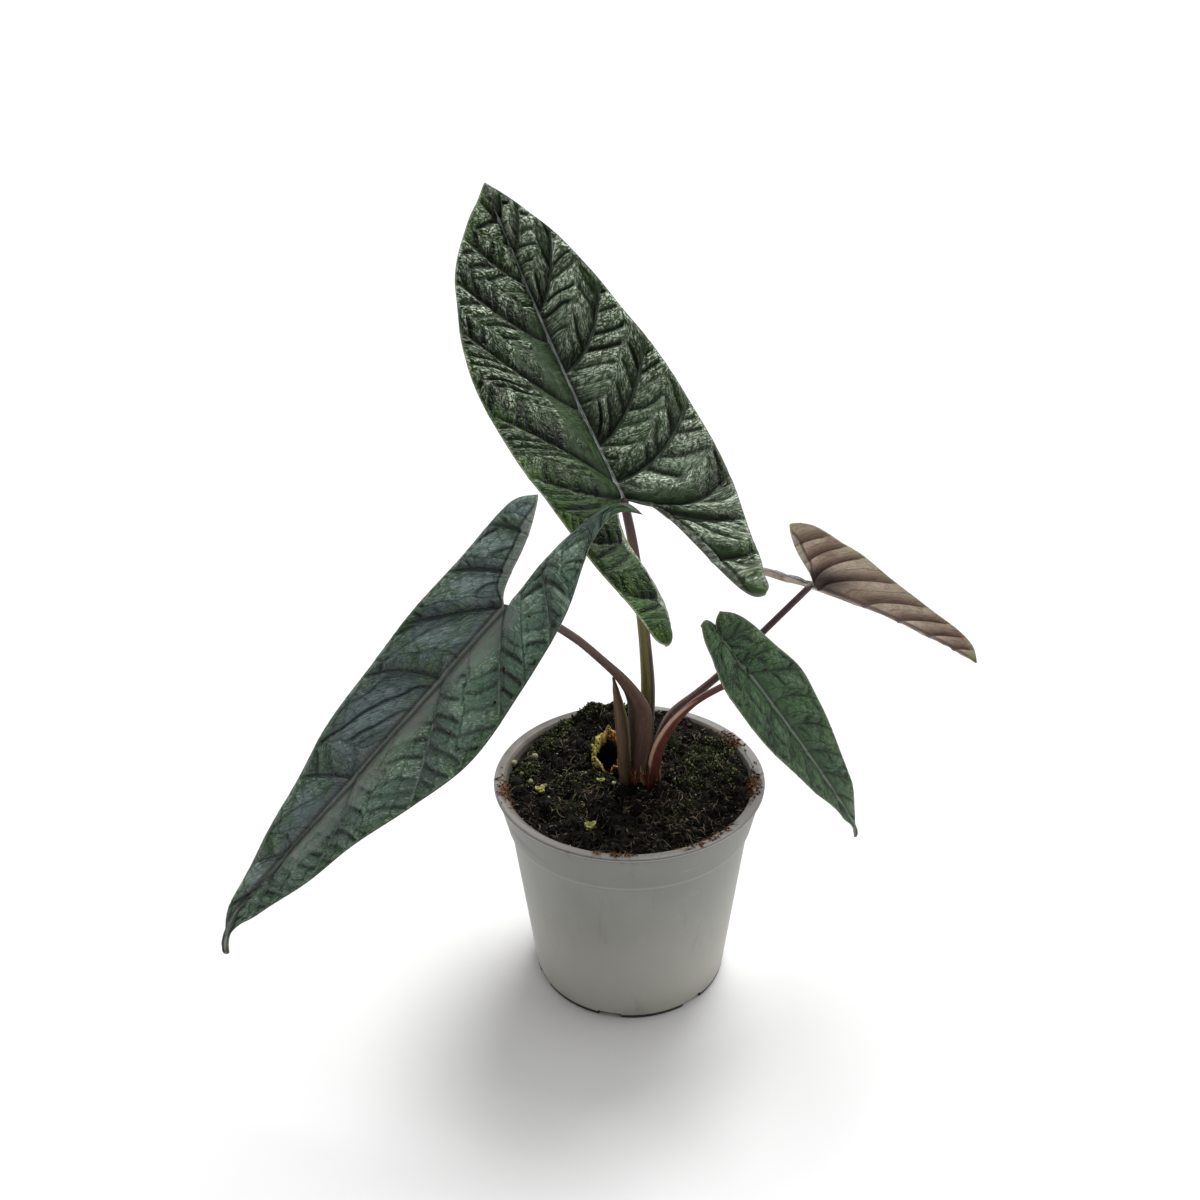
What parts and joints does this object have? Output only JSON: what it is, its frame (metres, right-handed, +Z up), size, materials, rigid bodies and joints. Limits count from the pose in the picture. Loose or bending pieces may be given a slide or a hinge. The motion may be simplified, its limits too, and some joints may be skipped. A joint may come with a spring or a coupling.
{
  "type": "potted alocasia scalprum",
  "caption": "Small alocasia scalprum in a grey plastic nursery pot: quilted, arrow-shaped dark leaves with long basal lobes on sheathing stalks rising from peat soil.",
  "frame": {"origin": "on the ground, under the middle of the whole plant's bounding box; the pot's axis stands 2.5 mm to +X and 1.8 mm to -Y of it", "axes": "+Z up along the pot's axis, the picture looks along +Y with +X to its right"},
  "size_m": [0.3228, 0.1686, 0.3414],
  "materials": {
    "pot": "warm light grey moulded plastic with a soft sheen, fine scuffs and dust",
    "soil": "matt moist peat, dark brown and crumbly",
    "rhizome": "matt, corky corm with fleshy roots",
    "crown": "matt, red-brown dry fibres",
    "blade_dark": "dark green, quilted, with a silvery satin sheen",
    "blade_slate": "slate grey-green, quilted, satin",
    "blade_underside": "mauve-brown underside with raised veins, satin",
    "blade_green": "mid green, quilted, satin",
    "stalk": "smooth brown-purple to olive, satin",
    "bract": "thin dry sheath, matt brown with a pale edge",
    "stub": "withered, dry, orange-yellow",
    "sprout": "soft yellow-green seedling leaflets"
  },
  "bodies": {
    "root": {"stalk_a": "stalk", "stalk_b": "stalk", "stalk_c": "stalk", "stalk_d": "stalk", "blade_a": "blade_dark", "blade_b": "blade_slate", "blade_c": "blade_underside", "blade_d": "blade_green", "bract": "bract", "crown": "crown", "stub": "stub", "rhizome": "rhizome", "sprout_left": "sprout", "sprout_front": "sprout", "sprout_middle": "sprout", "soil": "soil", "pot": "pot"}
  },
  "joints": []
}
